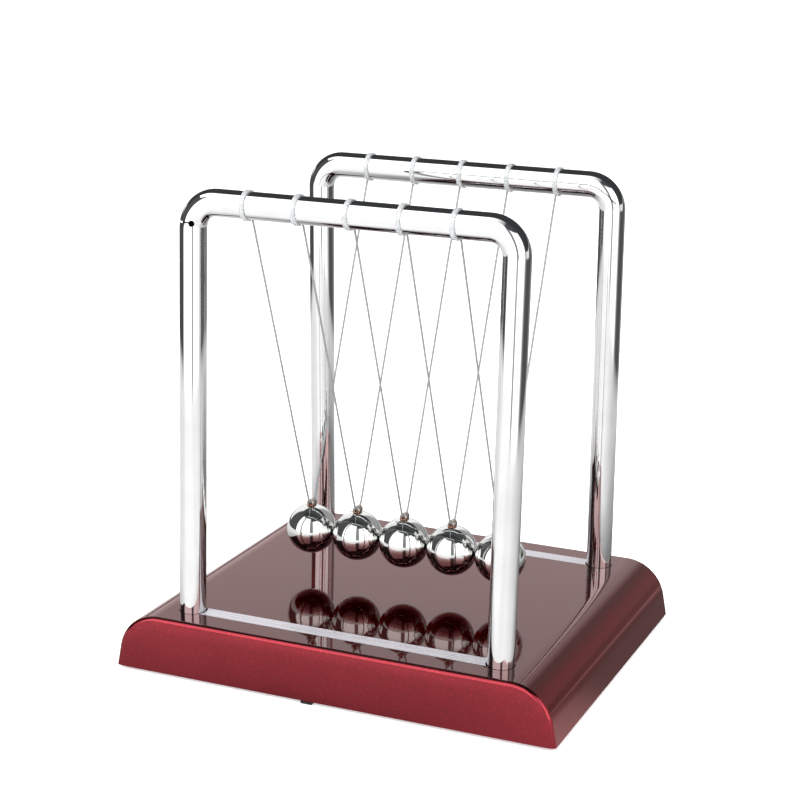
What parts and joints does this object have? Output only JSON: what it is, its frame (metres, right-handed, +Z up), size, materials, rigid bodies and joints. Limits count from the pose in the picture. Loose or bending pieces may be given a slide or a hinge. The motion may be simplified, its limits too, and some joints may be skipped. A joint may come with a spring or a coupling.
{
  "type": "newtons cradle",
  "caption": "Desk toy: steel balls in a row, each hung in a V on nylon line between two chrome tube frames on a lacquered base, so that the end balls swing.",
  "frame": {"origin": "centre of the footprint, on the plane that the feet stand on", "axes": "+X along the row of balls, towards the last-numbered ball; +Y from the front frame to the back frame; +Z up"},
  "size_m": [0.182, 0.148, 0.1909],
  "materials": {
    "red_lacquer": "dark red metallic-flake paint under a glossy clear coat",
    "black_plastic": "black moulded plastic, fine texture",
    "plain_steel": "plain rolled steel",
    "silver_strip": "satin silver",
    "chrome_tube": "mirror chrome plate",
    "brass_insert": "plain turned brass",
    "screw_steel": "zinc-plated steel",
    "rubber_foot": "matt black rubber",
    "clear_collar": "clear plastic",
    "nylon_line": "clear nylon monofilament",
    "polished_ball": "mirror-polished plated steel",
    "copper_eyelet": "copper-coloured metal"
  },
  "bodies": {
    "stand": {"base_shell": "red_lacquer", "base_cover": "black_plastic", "ballast_plate": "plain_steel", "front_strip": "silver_strip", "front_frame": "chrome_tube", "front_left_insert": "brass_insert", "front_left_screw": "screw_steel", "front_left_foot": "rubber_foot", "front_right_insert": "brass_insert", "front_right_screw": "screw_steel", "front_right_foot": "rubber_foot", "front_collar_1": "clear_collar", "front_knot_1": "nylon_line", "front_collar_2": "clear_collar", "front_knot_2": "nylon_line", "front_collar_3": "clear_collar", "front_knot_3": "nylon_line", "front_collar_4": "clear_collar", "front_knot_4": "nylon_line", "front_collar_5": "clear_collar", "front_knot_5": "nylon_line", "back_strip": "silver_strip", "back_frame": "chrome_tube", "back_left_insert": "brass_insert", "back_left_screw": "screw_steel", "back_left_foot": "rubber_foot", "back_right_insert": "brass_insert", "back_right_screw": "screw_steel", "back_right_foot": "rubber_foot", "back_collar_1": "clear_collar", "back_knot_1": "nylon_line", "back_collar_2": "clear_collar", "back_knot_2": "nylon_line", "back_collar_3": "clear_collar", "back_knot_3": "nylon_line", "back_collar_4": "clear_collar", "back_knot_4": "nylon_line", "back_collar_5": "clear_collar", "back_knot_5": "nylon_line"},
    "pendulum_1": {"ball_1": "polished_ball", "eyelet_1": "copper_eyelet", "line_1": "nylon_line"},
    "pendulum_2": {"ball_2": "polished_ball", "eyelet_2": "copper_eyelet", "line_2": "nylon_line"},
    "pendulum_3": {"ball_3": "polished_ball", "eyelet_3": "copper_eyelet", "line_3": "nylon_line"},
    "pendulum_4": {"ball_4": "polished_ball", "eyelet_4": "copper_eyelet", "line_4": "nylon_line"},
    "pendulum_5": {"ball_5": "polished_ball", "eyelet_5": "copper_eyelet", "line_5": "nylon_line"}
  },
  "joints": [
    {"name": "ball_1_swing", "type": "hinge", "parent": "stand", "child": "pendulum_1", "pos_m": [-0.0414, 0, 0.17915], "axis": [0, -1, 0], "range_deg": [-60, 0]},
    {"name": "ball_2_swing", "type": "hinge", "parent": "stand", "child": "pendulum_2", "pos_m": [-0.0207, 0, 0.17915], "axis": [0, -1, 0], "range_deg": [-0.12, 0.12]},
    {"name": "ball_3_swing", "type": "hinge", "parent": "stand", "child": "pendulum_3", "pos_m": [0, 0, 0.17915], "axis": [0, -1, 0], "range_deg": [-0.12, 0.12]},
    {"name": "ball_4_swing", "type": "hinge", "parent": "stand", "child": "pendulum_4", "pos_m": [0.0207, 0, 0.17915], "axis": [0, -1, 0], "range_deg": [-0.12, 0.12]},
    {"name": "ball_5_swing", "type": "hinge", "parent": "stand", "child": "pendulum_5", "pos_m": [0.0414, 0, 0.17915], "axis": [0, -1, 0], "range_deg": [0, 60]}
  ]
}
